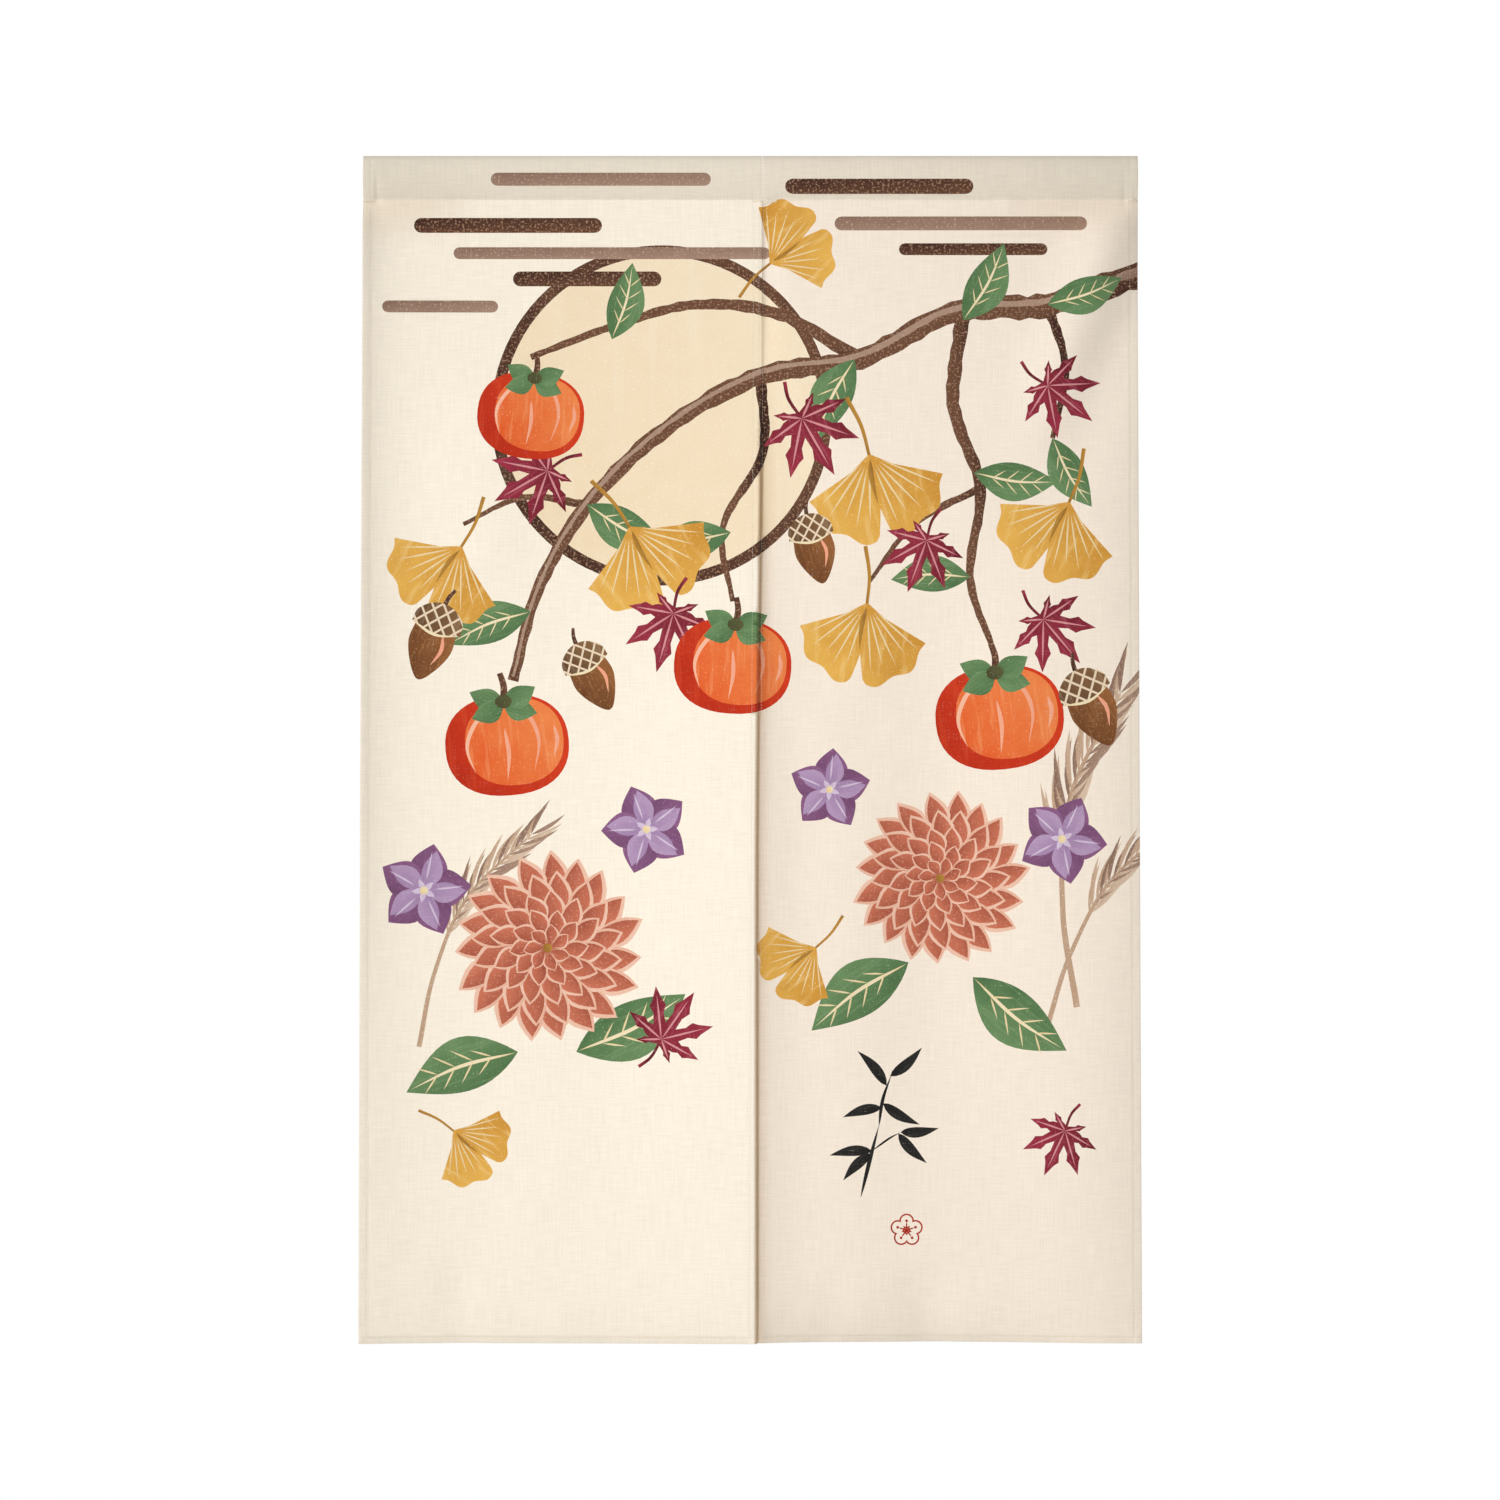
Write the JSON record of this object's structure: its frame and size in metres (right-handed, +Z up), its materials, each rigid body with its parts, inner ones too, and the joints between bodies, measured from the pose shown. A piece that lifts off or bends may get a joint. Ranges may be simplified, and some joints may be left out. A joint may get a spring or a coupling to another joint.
{
  "type": "noren curtain",
  "caption": "Split doorway curtain of printed linen-look cloth, sewn together above a long centre slit, hanging flat from a folded rod pocket.",
  "frame": {"origin": "middle of the rod pocket's top fold", "axes": "+X to the right seen from the front, -Y out of the printed front, +Z up"},
  "size_m": [0.792, 0.0417, 1.2],
  "materials": {
    "printed_cloth": "plain woven polyester and linen cloth, cream, matt, printed on the front"
  },
  "bodies": {
    "root": {"panel_left": "printed_cloth", "panel_right": "printed_cloth"}
  },
  "joints": []
}
